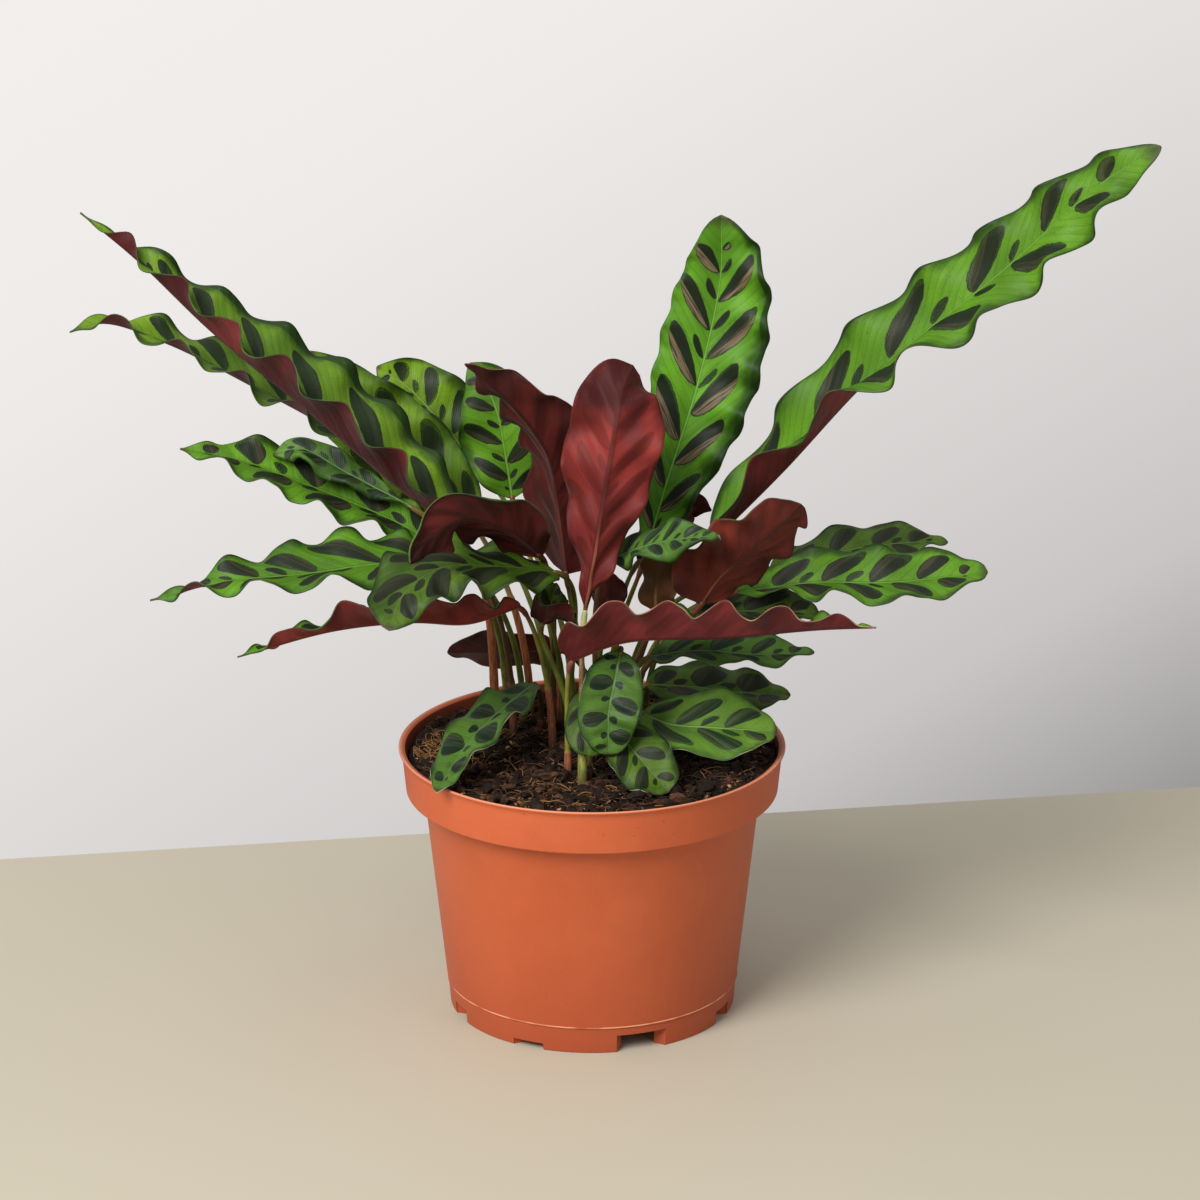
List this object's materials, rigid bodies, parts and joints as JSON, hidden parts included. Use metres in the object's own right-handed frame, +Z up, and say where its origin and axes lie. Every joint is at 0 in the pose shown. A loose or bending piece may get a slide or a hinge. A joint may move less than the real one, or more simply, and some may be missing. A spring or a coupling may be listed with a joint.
{
  "type": "potted plant",
  "caption": "Potted house plant: a clump of narrow wavy blotched leaves with maroon undersides on slim stems, in a tapered nursery pot filled with peat.",
  "frame": {"origin": "on the pot's axis, in the plane of its foot, where it stands", "axes": "+Z up along the pot's axis; +X along the plant's widest spread, to the right as seen from the front; -Y towards the front"},
  "size_m": [0.4506, 0.1921, 0.3885],
  "materials": {
    "pot": "matte",
    "soil": "matte",
    "stem": "satin",
    "leaf": "satin"
  },
  "bodies": {
    "root": {"pot": "pot", "soil": "soil", "stem_back_left": "stem", "stem_back_oval": "stem", "stem_centre_bent": "stem", "stem_centre_front": "stem", "stem_centre_green": "stem", "stem_centre_short": "stem", "stem_front_curled": "stem", "stem_front_drooping": "stem", "stem_front_folded": "stem", "stem_front_hanging": "stem", "stem_left_back": "stem", "stem_left_folded": "stem", "stem_left_hanging": "stem", "stem_left_low": "stem", "stem_left_second": "stem", "stem_left_shaded": "stem", "stem_left_small": "stem", "stem_left_third": "stem", "stem_left_top": "stem", "stem_right_back": "stem", "stem_right_broad": "stem", "stem_right_bronze": "stem", "stem_right_low": "stem", "stem_right_maroon": "stem", "stem_right_middle": "stem", "stem_right_rim": "stem", "stem_right_shaded": "stem", "stem_right_top": "stem", "stem_tall_upright": "stem", "leaf_back_left": "leaf", "leaf_back_oval": "leaf", "leaf_centre_bent": "leaf", "leaf_centre_front": "leaf", "leaf_centre_green": "leaf", "leaf_centre_short": "leaf", "leaf_front_curled": "leaf", "leaf_front_drooping": "leaf", "leaf_front_folded": "leaf", "leaf_front_hanging": "leaf", "leaf_left_back": "leaf", "leaf_left_folded": "leaf", "leaf_left_hanging": "leaf", "leaf_left_low": "leaf", "leaf_left_second": "leaf", "leaf_left_shaded": "leaf", "leaf_left_small": "leaf", "leaf_left_third": "leaf", "leaf_left_top": "leaf", "leaf_right_back": "leaf", "leaf_right_broad": "leaf", "leaf_right_bronze": "leaf", "leaf_right_low": "leaf", "leaf_right_maroon": "leaf", "leaf_right_middle": "leaf", "leaf_right_rim": "leaf", "leaf_right_shaded": "leaf", "leaf_right_top": "leaf", "leaf_tall_upright": "leaf"}
  },
  "joints": []
}
